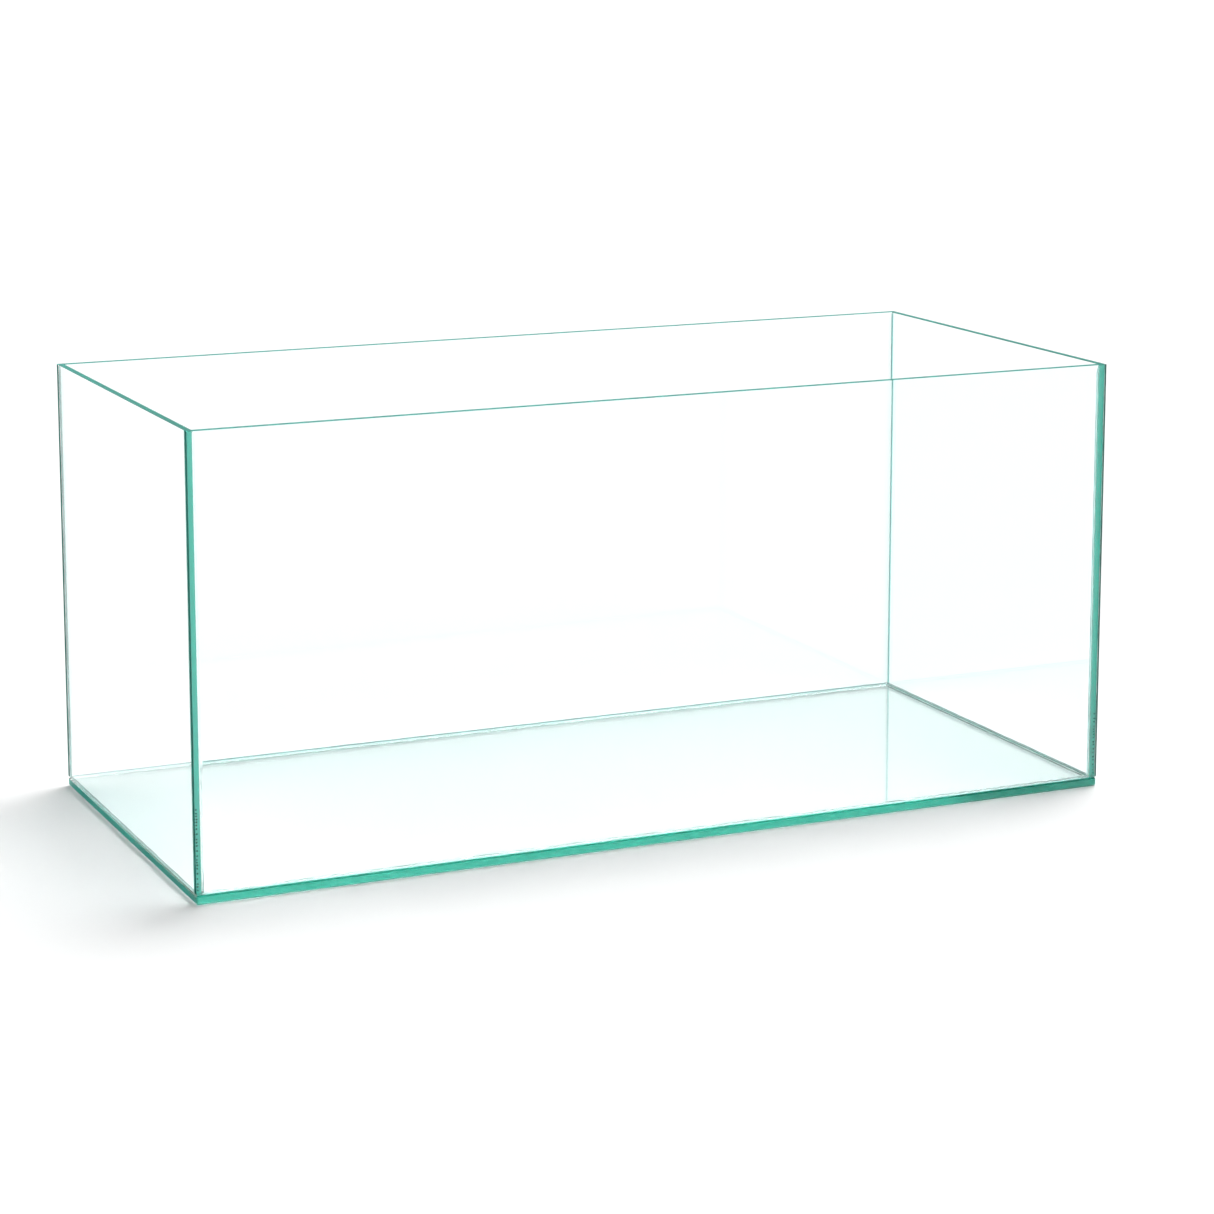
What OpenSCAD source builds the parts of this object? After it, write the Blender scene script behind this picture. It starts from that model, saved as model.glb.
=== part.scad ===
// Rimless glass aquarium tank, open at the top.
// A base pane carries four walls. The front and back panes run the full length, and the two side
// panes stand between them. Every joint is a thin film of clear silicone, a bond, and the inside of
// every joint has a second, hollow-faced bead of clear silicone that seals it.
// The origin is the middle of the underside. +X is the length, -Y is the front, +Z is up.

/* [Tank] */
// Outside length, from the left end to the right end
tank_l = 900; // [450:10:1200]
// Outside depth, from front to back
tank_w = 410; // [200:10:600]
// Outside height, from the underside to the rim
tank_h = 410; // [200:10:600]

/* [Glass] */
// Thickness of the four walls
wall_t = 6; // [4:1:12]
// Thickness of the base pane
base_t = 8; // [5:1:15]
// Width of the ground bevel along every edge of the walls
wall_arris = 0.4; // [0.3:0.1:1]
// Width of the ground bevel along the edges of the base pane
base_arris = 1.2; // [0.5:0.1:1.5]
// Radius of the four upright corners of the base pane
base_corner_r = 2; // [1.6:0.2:8]

/* [Silicone] */
// Thickness of the silicone film that bonds two panes
bond_t = 1; // [0.5:0.1:1.2]
// Reach of a sealing bead along each of the two faces it seals
bead_leg = 3; // [2.5:0.5:6]
// Radius of a bead's hollow face, as a multiple of its reach
bead_hollow = 1.5; // [1.1:0.1:4]
// Distance that the silicone in the corners stops below the rim
rim_gap = 1.5; // [1:0.5:6]

/* [Hidden] */

$fn = 64;
// Which half of the tank a piece is in, along X or along Y
LEFT = -1;
RIGHT = 1;
FRONT = -1;
BACK = 1;

half_l = tank_l / 2;
half_w = tank_w / 2;
// Height at which the walls start, on top of the base pane and its bond
wall_z = base_t + bond_t;
wall_h = tank_h - wall_z;
// Length of a side pane, which stands between the front and back panes with a bond at each end
side_l = tank_w - 2 * (wall_t + bond_t);
// Distance from the outer faces to the outer side of the silicone under the walls
base_bond_inset = max(wall_arris, base_arris);
// Height at which the silicone in the corners ends
corner_top_z = tank_h - rim_gap;
// The hollow face of a bead is an arc of this radius about this centre, and passes through the ends of both legs
bead_r = bead_hollow * bead_leg;
bead_centre = (bead_leg + sqrt(2 * pow(bead_r, 2) - pow(bead_leg, 2))) / 2;

glass_colour = [0.62, 0.86, 0.82, 0.35];
bond_colour = [0.40, 0.62, 0.58];
bead_colour = [0.80, 0.92, 0.91];

// ---- Shapes that repeat ----

// A piece drawn at the front left corner, put at the corner of the two halves that are named
module at_corner(side, face) {
    mirror([side == RIGHT ? 1 : 0, 0, 0])
        mirror([0, face == BACK ? 1 : 0, 0])
            children();
}

// A rectangle centred on the origin with its four corners cut off at 45 degrees
module bevelled_rectangle(size, bevel) {
    x = size[0] / 2;
    y = size[1] / 2;
    polygon([
        [-x + bevel, -y], [x - bevel, -y], [x, -y + bevel], [x, y - bevel],
        [x - bevel, y], [-x + bevel, y], [-x, y - bevel], [-x, -y + bevel]
    ]);
}

// A sheet of glass centred on the origin, with the same bevel along all of its twelve edges
module bevelled_sheet(size, bevel) {
    intersection() {
        linear_extrude(size[2], center = true)
            bevelled_rectangle([size[0], size[1]], bevel);
        rotate([90, 0, 0])
            linear_extrude(size[1], center = true)
                bevelled_rectangle([size[0], size[2]], bevel);
        rotate([90, 0, 90])
            linear_extrude(size[0], center = true)
                bevelled_rectangle([size[1], size[2]], bevel);
    }
}

// Section of a sealing bead. Its origin is where the inner faces of the two panes would meet.
// It fills the bevel of the pane that lies along +Y, and ends at the bond between the two panes.
module bead_section() {
    difference() {
        polygon([
            [-wall_arris, 0], [bead_centre, 0], [bead_centre, bead_centre],
            [0, bead_centre], [0, bond_t + wall_arris], [-wall_arris, bond_t]
        ]);
        translate([bead_centre, bead_centre])
            circle(r = bead_r);
    }
}

// ---- Glass ----

// A quarter of the base pane's rounded outline, turned into a full round post with bevelled rims
module base_corner_post() {
    rotate_extrude()
        polygon([
            [0, 0], [base_corner_r - base_arris, 0], [base_corner_r, base_arris],
            [base_corner_r, base_t - base_arris], [base_corner_r - base_arris, base_t], [0, base_t]
        ]);
}

module base_pane() {
    color(glass_colour)
        union() {
            translate([0, 0, base_t / 2]) {
                rotate([90, 0, 0])
                    linear_extrude(tank_w - 2 * base_corner_r, center = true)
                        bevelled_rectangle([tank_l, base_t], base_arris);
                rotate([90, 0, 90])
                    linear_extrude(tank_l - 2 * base_corner_r, center = true)
                        bevelled_rectangle([tank_w, base_t], base_arris);
            }
            for (side = [LEFT, RIGHT], face = [FRONT, BACK])
                translate([side * (half_l - base_corner_r), face * (half_w - base_corner_r), 0])
                    base_corner_post();
        }
}

// The front or the back wall, which runs the full length of the tank
module long_pane(face) {
    color(glass_colour)
        translate([0, face * (half_w - wall_t / 2), wall_z + wall_h / 2])
            bevelled_sheet([tank_l, wall_t, wall_h], wall_arris);
}

// The left or the right wall, which stands between the front and the back walls
module side_pane(side) {
    color(glass_colour)
        translate([side * (half_l - wall_t / 2), 0, wall_z + wall_h / 2])
            bevelled_sheet([wall_t, side_l, wall_h], wall_arris);
}

// ---- Structural bonds ----

// The film under the front or the back wall, which runs the full length
module long_base_bond(face) {
    color(bond_colour)
        at_corner(LEFT, face)
            translate([-half_l + base_bond_inset, -half_w + base_bond_inset, base_t])
                cube([tank_l - 2 * base_bond_inset, wall_t - wall_arris - base_bond_inset, bond_t]);
}

// The film under the left or the right wall, which runs between the two long ones
module side_base_bond(side) {
    inset = wall_t - wall_arris;
    color(bond_colour)
        at_corner(side, FRONT)
            translate([-half_l + base_bond_inset, -half_w + inset, base_t])
                cube([inset - base_bond_inset, tank_w - 2 * inset, bond_t]);
}

// The upright film between the end of a side wall and the long wall in front of it or behind it
module corner_bond(side, face) {
    color(bond_colour)
        at_corner(side, face)
            translate([-half_l + wall_arris, -half_w + wall_t, wall_z])
                cube([wall_t - 2 * wall_arris, bond_t, corner_top_z - wall_z]);
}

// ---- Sealing beads ----

// The bead's run along the foot of the front or the back wall, without colour
module long_bead_run(face) {
    at_corner(LEFT, face)
        translate([-half_l + wall_t, -half_w + wall_t, base_t])
            rotate([90, 0, 90])
                linear_extrude(tank_l - 2 * wall_t)
                    bead_section();
}

// The bead's run along the foot of the left or the right wall, without colour
module side_bead_run(side) {
    at_corner(side, BACK)
        translate([-half_l + wall_t, half_w - wall_t, base_t])
            rotate([90, 0, 0])
                linear_extrude(tank_w - 2 * wall_t)
                    bead_section();
}

module long_floor_bead(face) {
    color(bead_colour)
        long_bead_run(face);
}

// It is cut to the shape of the two long beads that it runs into
module side_floor_bead(side) {
    color(bead_colour)
        difference() {
            side_bead_run(side);
            long_bead_run(FRONT);
            long_bead_run(BACK);
        }
}

// The bead up an inside corner, cut to the shape of the two floor beads that it stands on
module corner_bead(side, face) {
    color(bead_colour)
        difference() {
            at_corner(side, face)
                translate([-half_l + wall_t, -half_w + wall_t, base_t])
                    linear_extrude(corner_top_z - base_t)
                        bead_section();
            long_bead_run(face);
            side_bead_run(side);
        }
}

base_pane();
long_pane(FRONT);  // front_pane
long_pane(BACK);  // back_pane
side_pane(LEFT);  // left_pane
side_pane(RIGHT);  // right_pane

long_base_bond(FRONT);  // front_base_bond
long_base_bond(BACK);  // back_base_bond
side_base_bond(LEFT);  // left_base_bond
side_base_bond(RIGHT);  // right_base_bond
corner_bond(LEFT, FRONT);  // front_left_corner_bond
corner_bond(RIGHT, FRONT);  // front_right_corner_bond
corner_bond(LEFT, BACK);  // back_left_corner_bond
corner_bond(RIGHT, BACK);  // back_right_corner_bond

long_floor_bead(FRONT);  // front_floor_bead
long_floor_bead(BACK);  // back_floor_bead
side_floor_bead(LEFT);  // left_floor_bead
side_floor_bead(RIGHT);  // right_floor_bead
corner_bead(LEFT, FRONT);  // front_left_corner_bead
corner_bead(RIGHT, FRONT);  // front_right_corner_bead
corner_bead(LEFT, BACK);  // back_left_corner_bead
corner_bead(RIGHT, BACK);  // back_right_corner_bead
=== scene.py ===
"""Looks of the rimless glass aquarium tank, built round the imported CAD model. Lengths are in metres."""
import math
import random

import bmesh
import bpy
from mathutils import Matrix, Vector


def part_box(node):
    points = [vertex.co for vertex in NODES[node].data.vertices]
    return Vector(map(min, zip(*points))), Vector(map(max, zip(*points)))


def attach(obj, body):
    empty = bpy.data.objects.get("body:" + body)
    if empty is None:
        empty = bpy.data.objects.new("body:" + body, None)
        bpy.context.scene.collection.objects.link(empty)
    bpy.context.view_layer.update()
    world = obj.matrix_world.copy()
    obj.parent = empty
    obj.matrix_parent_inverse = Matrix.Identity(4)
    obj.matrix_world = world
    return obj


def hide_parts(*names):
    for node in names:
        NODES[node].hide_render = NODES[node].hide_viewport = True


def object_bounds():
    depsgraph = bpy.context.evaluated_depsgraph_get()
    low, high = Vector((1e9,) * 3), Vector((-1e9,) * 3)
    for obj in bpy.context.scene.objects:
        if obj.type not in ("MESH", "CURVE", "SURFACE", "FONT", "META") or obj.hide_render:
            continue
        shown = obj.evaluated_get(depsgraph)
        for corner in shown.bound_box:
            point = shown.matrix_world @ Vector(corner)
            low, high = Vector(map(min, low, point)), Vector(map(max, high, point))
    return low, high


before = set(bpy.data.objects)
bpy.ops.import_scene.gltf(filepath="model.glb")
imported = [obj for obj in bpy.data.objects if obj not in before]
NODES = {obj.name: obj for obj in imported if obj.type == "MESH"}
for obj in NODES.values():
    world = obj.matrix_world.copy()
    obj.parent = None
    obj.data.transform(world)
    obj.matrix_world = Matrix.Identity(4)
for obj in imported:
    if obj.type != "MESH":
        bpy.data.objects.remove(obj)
CAD_LOW, CAD_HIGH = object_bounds()
HEIGHT = CAD_HIGH.z - CAD_LOW.z
MM = 0.001
X, Y, Z = Vector((1, 0, 0)), Vector((0, 1, 0)), Vector((0, 0, 1))
WHITE = (1, 1, 1, 1)

# Sizes that the silicone follows, taken from the CAD nodes
WALL_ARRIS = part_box("front_left_corner_bond")[0].x - CAD_LOW.x
WALL_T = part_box("front_pane")[1].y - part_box("front_pane")[0].y
BOND_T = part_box("front_base_bond")[1].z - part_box("front_base_bond")[0].z
BASE_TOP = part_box("base_pane")[1].z
BEAD_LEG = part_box("front_floor_bead")[1].z - BASE_TOP
INNER_X = CAD_HIGH.x - WALL_T
INNER_Y = CAD_HIGH.y - WALL_T

# The camera stands off the lower front left corner by these multiples of the tank's height
CAMERA_OFFSET = Vector((-1.947, -6.369, 2.141))
CAMERA_YAW = math.radians(24.35)
CAMERA_PITCH = math.radians(9.69)
LENS_MM = 98.1
SENSOR_MM = 36.0
CAMERA_SHIFT_Y = -0.15

GLASS_IOR = 1.52
SILICONE_IOR = 1.41
# Volume colour and density: light loses (1 - colour) * density of itself per metre
WALL_TINT = ((0.0, 0.82, 0.77), 9.5)
BASE_TINT = ((0.0, 0.735, 0.635), 7.0)
BOND_TINT = ((0.0, 0.87, 0.84), 300.0)
BEAD_TINT = ((0.0, 0.6, 0.6), 30.0)

# A surface faces an axis when its normal has more than the first of it, and leans to it with the second
FACING = 0.9
LEANING = 0.5
# Roughness of a pane's level edges, its upright ends, and the bevels along its faces
LEVEL_ROUGHNESS = 0.5
END_ROUGHNESS = 0.3
BEVEL_ROUGHNESS = 0.2
# The grain of the ground edges varies their roughness by this much of itself
GROUND_SCALE = 900.0
GROUND_VARIES = 0.3

# The ends of the panes are painted with the deep green that light takes on along a pane, and the long
# panes' nearly opaque ends are darker still with painted shade.
# Each has the axis that the end faces, its painted colour, and how clear it stays.
LONG_PANE_PAINTED_ENDS = ("X", (0.003, 0.11, 0.085, 1), 0.12)
SIDE_PANE_PAINTED_ENDS = ("Y", (0.20, 1.0, 0.92, 1), 1.0)
BASE_PAINTED_ENDS = ("X", (0.01, 0.40, 0.33, 1), 0.5)
# The top rims and the bevels beside them are painted with a dark green shade, and have a clearness too
RIM_PAINTED_SHADE = (0.03, 0.30, 0.245, 1)
RIM_CLEARNESS = 0.5

# The skin of the silicone: the scale of its unevenness, its smoothest and its spread of roughness
SKIN_SCALE = 250.0
SKIN_ROUGHNESS = 0.02
SKIN_VARIES = 0.08
SKIN_BUMP = 0.05 * MM
SKIN_BUMP_STRENGTH = 0.3
# Silicone reaches this far into the glass it wets, so that light meets no air between the two
WETTING = 0.04 * MM
# A film's open edge is drawn in by this much on average, and is this hollow in a groove or a plain seam
FILM_DENT = 0.12 * MM
GROOVE_HOLLOW = 0.12 * MM
SEAM_HOLLOW = 0.25 * MM
FILM_STEP = 8 * MM
# A bead's section is an arc of this many legs in radius, and its legs vary by this share along the run
BEAD_HOLLOW_R = 1.5
BEAD_VARIES = 0.10
BEAD_STEP = 6 * MM
ARC_STEPS = 8
# A bead is even for this far from an inside corner, and thins to this share of its leg at an open end
BEAD_CALM = 30 * MM
OPEN_END_LEG = 0.45

# A bubble's colours are a painted reflection of the dark seam, mixed at random between these two
BUBBLE_DARK = (0.0, 0.09, 0.07, 1)
BUBBLE_LIGHT = (0.0, 0.18, 0.145, 1)
# The least and greatest radius of a bubble, and the steps from one to the next, in millimetres
BUBBLE_RADII = (0.6, 0.9)
BUBBLE_STEPS = (2.4, 2.8, 3.2, 4.6)
BUBBLE_HALF_THICK = 0.32 * MM
BUBBLE_START = 3 * MM

# The surround is evenly bright up to the first height and darkens to the ceiling's light by the second
HORIZON_LIGHT = 1.45
CEILING_LIGHT = 0.25
HORIZON_TOP = 0.34
CEILING_START = 0.45
KEY_STRENGTH = 3.4
KEY_DIRECTION = Vector((-0.35, -0.2, -0.9))
KEY_ANGLE = math.radians(32)
FLOOR_HALF = 40.0
FLOOR_GAP = 0.5 * MM
FLOOR_ALBEDO = 0.72
# The floor glows a little, as if lit from under, so that it stays as white as the photo's
FLOOR_GLOW = 0.11
LIGHT_BOUNCES = 256


def wobble(distance, seed):
    """A smooth uneven wave between -1 and 1 along a run of silicone."""
    waves = ((0.083, 0.5, 1.7), (0.037, 0.3, 2.9), (0.019, 0.2, 4.1))
    return sum(share * math.sin(2 * math.pi * distance / length + seed * phase)
               for length, share, phase in waves)


def add_object(name, mesh):
    """An object for a mesh, linked to the scene."""
    made = bpy.data.objects.new(name, mesh)
    bpy.context.scene.collection.objects.link(made)
    return made


def swept(name, rings, material):
    """A closed piece whose skin joins the rings in order. Each ring has the same number of points."""
    mesh = bpy.data.meshes.new(name)
    build = bmesh.new()
    rows = [[build.verts.new(point) for point in ring] for ring in rings]
    count = len(rows[0])
    for near, far in zip(rows, rows[1:]):
        for i in range(count):
            j = (i + 1) % count
            build.faces.new((near[i], near[j], far[j], far[i]))
    caps = [build.faces.new(rows[0]), build.faces.new(rows[-1])]
    bmesh.ops.triangulate(build, faces=caps)
    bmesh.ops.recalc_face_normals(build, faces=build.faces)
    if build.calc_volume(signed=True) < 0:
        bmesh.ops.reverse_faces(build, faces=build.faces)
    build.to_mesh(mesh)
    build.free()
    mesh.materials.append(material)
    piece = add_object(name, mesh)
    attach(piece, "root")
    return piece


def maths(tree, operation, first, second=None, third=None):
    """A Math node on sockets or plain numbers. Returns its output socket."""
    node = tree.nodes.new("ShaderNodeMath")
    node.operation = operation
    for socket, value in zip(node.inputs, (first, second, third)):
        if isinstance(value, (int, float)):
            socket.default_value = value
        elif value is not None:
            tree.links.new(value, socket)
    return node.outputs["Value"]


def axes_of(tree, vector):
    """The X, Y and Z sockets of a vector socket."""
    split = tree.nodes.new("ShaderNodeSeparateXYZ")
    tree.links.new(vector, split.inputs["Vector"])
    return split.outputs


def noise_on(tree, scale, detail):
    """Fine noise that is fixed to the object. Returns its socket, between 0 and 1."""
    place = tree.nodes.new("ShaderNodeTexCoord")
    noise = tree.nodes.new("ShaderNodeTexNoise")
    noise.inputs["Scale"].default_value = scale
    noise.inputs["Detail"].default_value = detail
    tree.links.new(place.outputs["Object"], noise.inputs["Vector"])
    return noise.outputs["Fac"]


def tinted(tree, share, under, colour):
    """Mixes a colour over a plain colour or a colour socket, by a share. Returns the mix's socket."""
    mix = tree.nodes.new("ShaderNodeMix")
    mix.data_type = "RGBA"
    mix.inputs["B"].default_value = colour
    tree.links.new(share, mix.inputs["Factor"])
    if isinstance(under, tuple):
        mix.inputs["A"].default_value = under
    else:
        tree.links.new(under, mix.inputs["A"])
    return mix.outputs["Result"]


def clear_shader(name, ior, absorb_colour, absorb_density):
    """A clear material that tints light by the length of its way through, and its tree and shader."""
    material = bpy.data.materials.new(name)
    material.use_nodes = True
    tree = material.node_tree
    shader = tree.nodes["Principled BSDF"]
    shader.inputs["Base Color"].default_value = WHITE
    shader.inputs["Roughness"].default_value = 0.0
    shader.inputs["IOR"].default_value = ior
    shader.inputs["Transmission Weight"].default_value = 1.0
    volume = tree.nodes.new("ShaderNodeVolumeAbsorption")
    volume.inputs["Color"].default_value = (*absorb_colour, 1)
    volume.inputs["Density"].default_value = absorb_density
    tree.links.new(volume.outputs["Volume"], tree.nodes["Material Output"].inputs["Volume"])
    return material, tree, shader


def pane_glass(name, thin_axis, tint, painted_ends):
    """Float glass with polished faces and finely ground ends and bevels. Its ends are painted with the
    green of light along a pane, darker with painted shade on the long panes, and its top rim with a
    painted green shade and no gloss.
    """
    material, tree, shader = clear_shader(name, GLASS_IOR, *tint)
    geometry = tree.nodes.new("ShaderNodeNewGeometry")
    normal = axes_of(tree, geometry.outputs["True Normal"])
    parts = {axis: maths(tree, "ABSOLUTE", normal[axis]) for axis in "XYZ"}
    largest = maths(tree, "MAXIMUM", maths(tree, "MAXIMUM", parts["X"], parts["Y"]), parts["Z"])
    bevel = maths(tree, "LESS_THAN", largest, FACING)
    edge = maths(tree, "LESS_THAN", parts[thin_axis], LEANING)
    level = maths(tree, "GREATER_THAN", parts["Z"], FACING)
    flat = maths(tree, "MULTIPLY_ADD", level, LEVEL_ROUGHNESS - END_ROUGHNESS, END_ROUGHNESS)
    rough = maths(tree, "MULTIPLY_ADD", bevel, BEVEL_ROUGHNESS, maths(tree, "MULTIPLY", edge, flat))
    ground = noise_on(tree, GROUND_SCALE, 3.0)
    grain = maths(tree, "MULTIPLY_ADD", ground, GROUND_VARIES, 1 - GROUND_VARIES / 2)
    tree.links.new(maths(tree, "MULTIPLY", rough, grain), shader.inputs["Roughness"])

    axis, colour, clearness = painted_ends
    end = maths(tree, "GREATER_THAN", parts[axis], FACING)
    place = axes_of(tree, geometry.outputs["Position"])
    upper = maths(tree, "GREATER_THAN", place["Z"], (CAD_LOW.z + CAD_HIGH.z) / 2)
    rim = maths(tree, "MULTIPLY", maths(tree, "GREATER_THAN", parts["Z"], LEANING), upper)
    # A partly opaque end or rim has no gloss, so that the white surround doesn't wash out its painted
    # green and shade
    clear = maths(tree, "MULTIPLY_ADD", end, clearness - 1, 1.0)
    clear = maths(tree, "MULTIPLY_ADD", rim, RIM_CLEARNESS - 1, clear)
    dull = maths(tree, "MAXIMUM", maths(tree, "MULTIPLY", end, math.ceil(1 - clearness)), rim)
    tree.links.new(clear, shader.inputs["Transmission Weight"])
    tree.links.new(maths(tree, "MULTIPLY_ADD", dull, -0.5, 0.5), shader.inputs["Specular IOR Level"])
    # The painted green of the ends and the painted green shade of the rim go into the base colour
    green = tinted(tree, rim, tinted(tree, end, WHITE, colour), RIM_PAINTED_SHADE)
    tree.links.new(green, shader.inputs["Base Color"])
    return material


def clear_silicone(name, tint):
    """Clear silicone with a skin that is a little uneven where it was smoothed by hand."""
    material, tree, shader = clear_shader(name, SILICONE_IOR, *tint)
    uneven = noise_on(tree, SKIN_SCALE, 2.0)
    rough = maths(tree, "MULTIPLY_ADD", uneven, SKIN_VARIES, SKIN_ROUGHNESS)
    tree.links.new(rough, shader.inputs["Roughness"])
    bump = tree.nodes.new("ShaderNodeBump")
    bump.inputs["Distance"].default_value = SKIN_BUMP
    bump.inputs["Strength"].default_value = SKIN_BUMP_STRENGTH
    tree.links.new(uneven, bump.inputs["Height"])
    tree.links.new(bump.outputs["Normal"], shader.inputs["Normal"])
    return material


def trapped_air():
    """Air trapped against the glass mirrors the dark seam, so a bubble shows as a dark spot; its colour
    is that reflection, painted.
    """
    material = bpy.data.materials.new("trapped_air")
    material.use_nodes = True
    tree = material.node_tree
    shader = tree.nodes["Principled BSDF"]
    painted_reflection = tinted(tree, noise_on(tree, 400.0, 2.0), BUBBLE_DARK, BUBBLE_LIGHT)
    tree.links.new(painted_reflection, shader.inputs["Base Color"])
    shader.inputs["Roughness"].default_value = 0.5
    shader.inputs["Specular IOR Level"].default_value = 0.1
    return material


def make_bond(node, along, across, inward, material, seed, fill=0.0):
    """The silicone film that stands for a CAD bond.

    across is its thin direction, and inward leads into the tank. fill is how far the film comes out
    beyond the CAD bond, into the groove between the bevels of the two panes."""
    low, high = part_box(node)
    size = high - low
    centre = (low + high) / 2
    length = abs(size.dot(along))
    thick = abs(size.dot(across))
    width = abs(size.dot(inward))
    hollow = GROOVE_HOLLOW if fill else SEAM_HOLLOW
    half = thick / 2 + WETTING
    steps = max(2, round(length / FILM_STEP))
    rings = []
    for i in range(steps + 1):
        s = length * (i / steps - 0.5)
        dent = FILM_DENT * (1 + wobble(s, seed))
        mouth = half + max(fill - dent, 0.0)
        ring = []
        for k in range(7):
            a = 2 * k / 6 - 1
            ring.append((-width / 2 - fill + dent + hollow * (1 - a * a), a * mouth))
        if fill:
            ring.append((-width / 2, half))
        ring.append((width / 2 + WETTING, half))
        ring.append((width / 2 + WETTING, -half))
        if fill:
            ring.append((-width / 2, -half))
        rings.append([centre + along * s + inward * w + across * t for w, t in ring])
    piece = swept(node.replace("bond", "silicone_film"), rings, material)
    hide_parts(node)


def bead_outline(leg_u, leg_v):
    """Section of a sealing bead from the corner of two panes. It fills the bevel of the pane along v."""
    leg = (leg_u + leg_v) / 2
    radius = BEAD_HOLLOW_R * leg
    centre = (leg + math.sqrt(2 * radius ** 2 - leg ** 2)) / 2
    first = math.atan2(-centre, leg - centre)
    last = math.atan2(leg - centre, -centre)
    if last > 0:
        last -= 2 * math.pi
    points = [(-WALL_ARRIS - WETTING, -WETTING), (leg_u, -WETTING)]
    for k in range(ARC_STEPS + 1):
        angle = first + (last - first) * k / ARC_STEPS
        out_u = centre + radius * math.cos(angle)
        out_v = centre + radius * math.sin(angle)
        points.append((out_u * leg_u / leg, out_v * leg_v / leg))
    points.append((-WETTING, leg_v))
    points.append((-WETTING, BOND_T + WALL_ARRIS))
    points.append((-WALL_ARRIS - WETTING, BOND_T + WETTING))
    return points


def make_bead(node, corner, end, u, v, material, seed, open_end=False):
    """The sealing bead that stands for a CAD bead, mitred where it meets others.

    It runs from corner to end, and u and v lead away from the panes."""
    along = (end - corner).normalized()
    length = (end - corner).length
    steps = max(2, round(length / BEAD_STEP))
    rings = []
    for i in range(steps + 1):
        s = length * i / steps
        calm = min(1.0, s / BEAD_CALM)
        if not open_end:
            calm = min(calm, (length - s) / BEAD_CALM)
        leg_u = BEAD_LEG * (1 + BEAD_VARIES * calm * wobble(s, seed))
        leg_v = BEAD_LEG * (1 + BEAD_VARIES * calm * wobble(s, seed + 5))
        if open_end:
            lift = min(1.0, OPEN_END_LEG + (1 - OPEN_END_LEG) * (length - s) / BEAD_STEP)
            leg_u *= lift
            leg_v = max(leg_v * lift, BOND_T + WALL_ARRIS + 0.1 * MM)
        ring = []
        for p, q in bead_outline(leg_u, leg_v):
            reach = max(p, q, 0.0)
            at = max(s, reach)
            if not open_end:
                at = min(at, length - reach)
            ring.append(corner + along * at + u * p + v * q)
        rings.append(ring)
    piece = swept(node.replace("bead", "silicone_bead"), rings, material)
    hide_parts(node)


def make_bubbles(node, from_end, top, material, seed):
    """A broken string of small flattened bubbles in the foot of an upright film.

    from_end is how far in from the end of the tank they are, and top is how far up the film they go."""
    low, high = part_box(node)
    x = math.copysign(CAD_HIGH.x - from_end, low.x)
    y = (low.y + high.y) / 2
    dice = random.Random(seed)
    build = bmesh.new()
    z = low.z + BUBBLE_START
    while z < low.z + top:
        size = dice.uniform(*BUBBLE_RADII) * MM
        place = Vector((x + dice.uniform(-0.2, 0.2) * MM, y, z))
        made = bmesh.ops.create_icosphere(build, subdivisions=2, radius=1.0)
        for vert in made["verts"]:
            dent = 1 + 0.12 * math.sin(3 * vert.co.x + 5 * vert.co.z + seed + z * 900)
            shape = Vector((vert.co.x * size, vert.co.y * BUBBLE_HALF_THICK, vert.co.z * size))
            vert.co = place + shape * dent
        z += dice.choice(BUBBLE_STEPS) * MM
    mesh = bpy.data.meshes.new(node.replace("corner_bond", "bubbles"))
    build.to_mesh(mesh)
    build.free()
    mesh.shade_smooth()
    mesh.materials.append(material)
    piece = add_object(mesh.name, mesh)
    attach(piece, "root")


def dress_panes(bead_silicone):
    """Glass on the panes. The CAD's own silicone is replaced later, and gets the beads' material."""
    side_glass = pane_glass("wall_glass_x", "X", WALL_TINT, SIDE_PANE_PAINTED_ENDS)
    long_glass = pane_glass("wall_glass_y", "Y", WALL_TINT, LONG_PANE_PAINTED_ENDS)
    base_glass = pane_glass("base_glass", "Z", BASE_TINT, BASE_PAINTED_ENDS)
    glass = {"front_pane": long_glass, "back_pane": long_glass, "left_pane": side_glass,
             "right_pane": side_glass, "base_pane": base_glass}
    for name, node in NODES.items():
        for slot in node.material_slots:
            slot.material = glass.get(name, bead_silicone)


def make_bonds(material):
    """The films under the four walls, and those in the four upright corners."""
    for i, (face, inward) in enumerate(FACES.items()):
        make_bond(f"{face}_base_bond", X, Z, inward, material, i)
    for i, (side, inward) in enumerate(SIDES.items()):
        make_bond(f"{side}_base_bond", Y, Z, inward, material, 2 + i)
    for i, (face, away) in enumerate(FACES.items()):
        for j, (side, inward) in enumerate(SIDES.items()):
            node = f"{face}_{side}_corner_bond"
            make_bond(node, Z, away, inward, material, 4 + 2 * i + j, WALL_ARRIS)


def make_beads(material):
    """The beads round the floor, and those up the four inside corners."""
    for i, (face, away) in enumerate(FACES.items()):
        start = Vector((-INNER_X, -INNER_Y * away.y, BASE_TOP))
        end = Vector((INNER_X, -INNER_Y * away.y, BASE_TOP))
        make_bead(f"{face}_floor_bead", start, end, away, Z, material, 10 + i)
    for i, (side, away) in enumerate(SIDES.items()):
        start = Vector((-INNER_X * away.x, -INNER_Y, BASE_TOP))
        end = Vector((-INNER_X * away.x, INNER_Y, BASE_TOP))
        make_bead(f"{side}_floor_bead", start, end, away, Z, material, 12 + i)
    for i, (face, away_y) in enumerate(FACES.items()):
        for j, (side, away_x) in enumerate(SIDES.items()):
            node = f"{face}_{side}_corner_bead"
            start = Vector((-INNER_X * away_x.x, -INNER_Y * away_y.y, BASE_TOP))
            end = Vector((start.x, start.y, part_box(node)[1].z))
            make_bead(node, start, end, away_x, away_y, material, 14 + 2 * i + j, True)


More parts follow.
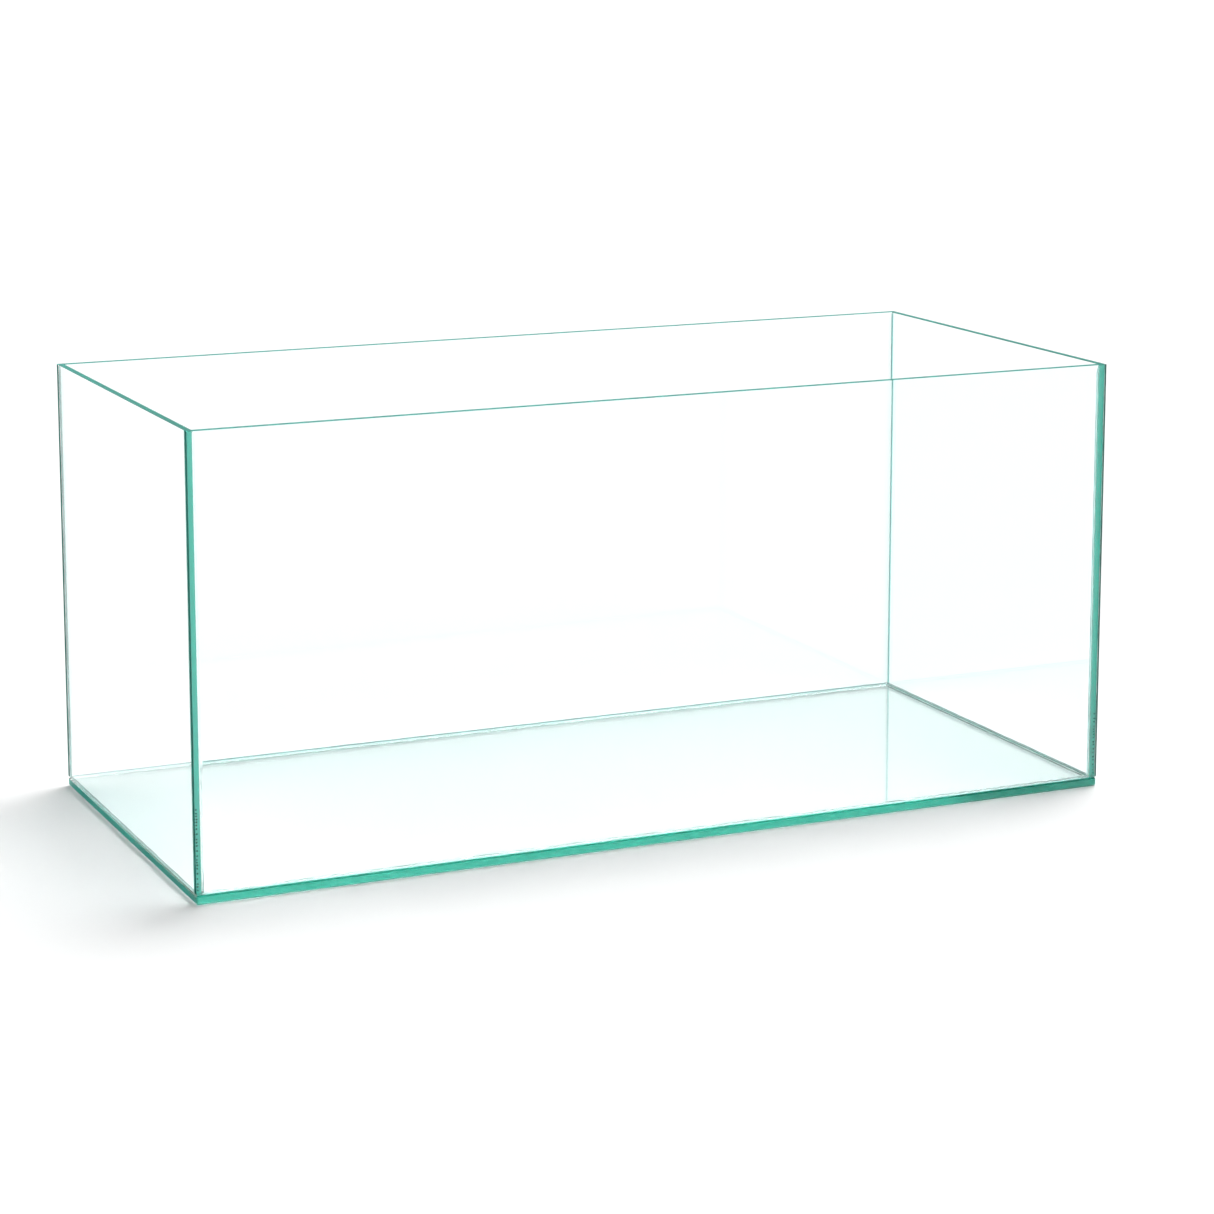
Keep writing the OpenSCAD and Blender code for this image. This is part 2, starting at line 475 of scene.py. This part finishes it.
def make_camera():
    data = bpy.data.cameras.new("camera")
    data.lens = LENS_MM
    data.sensor_width = SENSOR_MM
    data.shift_y = CAMERA_SHIFT_Y
    data.dof.use_dof = False
    camera = add_object("camera", data)
    camera.location = CAD_LOW + CAMERA_OFFSET * HEIGHT
    level = math.cos(CAMERA_PITCH)
    look = Vector((math.sin(CAMERA_YAW) * level, math.cos(CAMERA_YAW) * level, -math.sin(CAMERA_PITCH)))
    camera.rotation_mode = "QUATERNION"
    camera.rotation_quaternion = look.to_track_quat("-Z", "Y")
    bpy.context.scene.camera = camera


def make_floor():
    mesh = bpy.data.meshes.new("floor")
    s = FLOOR_HALF
    mesh.from_pydata([(-s, -s, 0), (s, -s, 0), (s, s, 0), (-s, s, 0)], [], [(0, 1, 2, 3)])
    floor = add_object("floor", mesh)
    floor.location.z = CAD_LOW.z - FLOOR_GAP
    material = bpy.data.materials.new("floor")
    material.use_nodes = True
    shader = material.node_tree.nodes["Principled BSDF"]
    shader.inputs["Base Color"].default_value = (FLOOR_ALBEDO, FLOOR_ALBEDO, FLOOR_ALBEDO, 1)
    shader.inputs["Roughness"].default_value = 0.9
    shader.inputs["Specular IOR Level"].default_value = 0.0
    shader.inputs["Emission Color"].default_value = WHITE
    shader.inputs["Emission Strength"].default_value = FLOOR_GLOW
    mesh.materials.append(material)


def make_light():
    """A bright surround that darkens to the ceiling, and a broad key light high behind the right side."""
    world = bpy.data.worlds.new("studio")
    bpy.context.scene.world = world
    world.use_nodes = True
    tree = world.node_tree
    place = tree.nodes.new("ShaderNodeTexCoord")
    fall = tree.nodes.new("ShaderNodeMapRange")
    fall.interpolation_type = "SMOOTHSTEP"
    fall.inputs["From Min"].default_value = HORIZON_TOP
    fall.inputs["From Max"].default_value = CEILING_START
    fall.inputs["To Min"].default_value = HORIZON_LIGHT
    fall.inputs["To Max"].default_value = CEILING_LIGHT
    tree.links.new(axes_of(tree, place.outputs["Generated"])["Z"], fall.inputs["Value"])
    tree.links.new(fall.outputs["Result"], tree.nodes["Background"].inputs["Strength"])
    tree.nodes["Background"].inputs["Color"].default_value = WHITE
    data = bpy.data.lights.new("key", "SUN")
    data.energy = KEY_STRENGTH
    data.angle = KEY_ANGLE
    key = add_object("key", data)
    key.rotation_mode = "QUATERNION"
    key.rotation_quaternion = KEY_DIRECTION.to_track_quat("-Z", "Y")


# The ways that lead into the tank from its four walls
SIDES = {"left": X, "right": -X}
FACES = {"front": Y, "back": -Y}

scene = bpy.context.scene
scene.view_settings.view_transform = "Standard"
scene.cycles.max_bounces = LIGHT_BOUNCES
scene.cycles.glossy_bounces = LIGHT_BOUNCES
scene.cycles.transmission_bounces = LIGHT_BOUNCES
scene.cycles.blur_glossy = 0.0

bond_silicone = clear_silicone("bond_silicone", BOND_TINT)
bead_silicone = clear_silicone("bead_silicone", BEAD_TINT)
dress_panes(bead_silicone)
make_bonds(bond_silicone)
make_beads(bead_silicone)
air = trapped_air()
make_bubbles("front_left_corner_bond", 2.5 * MM, 78 * MM, air, 3)
make_bubbles("front_right_corner_bond", 1.8 * MM, 62 * MM, air, 8)

make_camera()
make_floor()
make_light()
